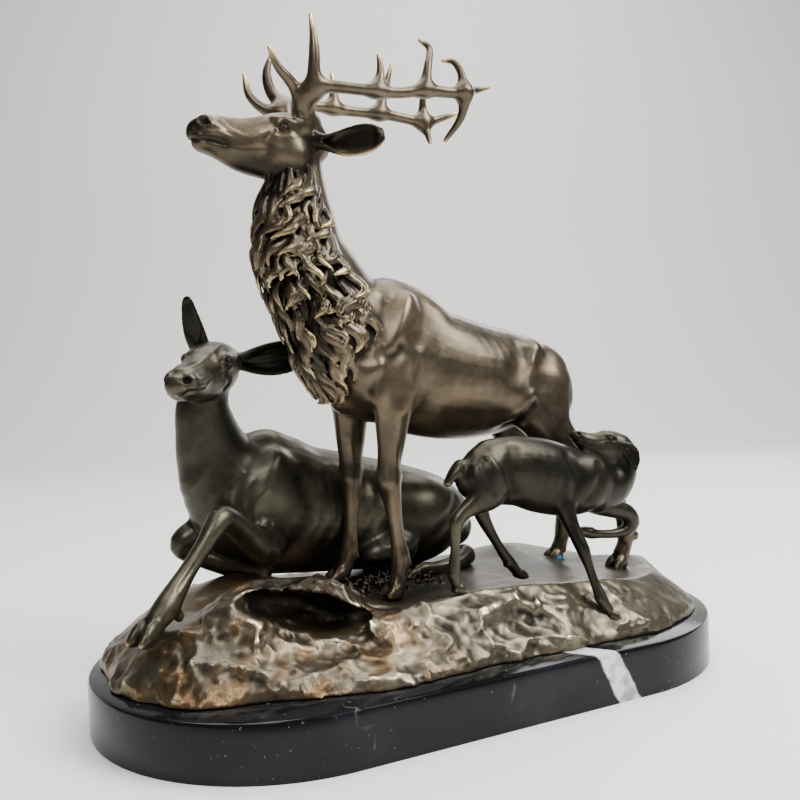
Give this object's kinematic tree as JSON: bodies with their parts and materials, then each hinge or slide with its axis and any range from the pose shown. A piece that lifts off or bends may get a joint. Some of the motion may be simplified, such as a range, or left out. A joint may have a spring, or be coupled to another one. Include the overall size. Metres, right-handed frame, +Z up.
{
  "type": "deer family sculpture",
  "caption": "Bronze stag standing over a resting doe and a walking fawn on rocky ground, on an oblong black marble plinth with round ends.",
  "frame": {"origin": "centre of the plinth's underside", "axes": "+Z up, +X along the plinth from the stag's head towards the fawn's chest, -Y towards the viewer"},
  "size_m": [0.41, 0.22, 0.4023],
  "materials": {
    "brown_bronze": "brown patinated bronze, waxed, rubbed to gold on its edges",
    "black_marble": "polished black marble with white veins"
  },
  "bodies": {
    "root": {"bronze_group": "brown_bronze", "marble_plinth": "black_marble"}
  },
  "joints": []
}
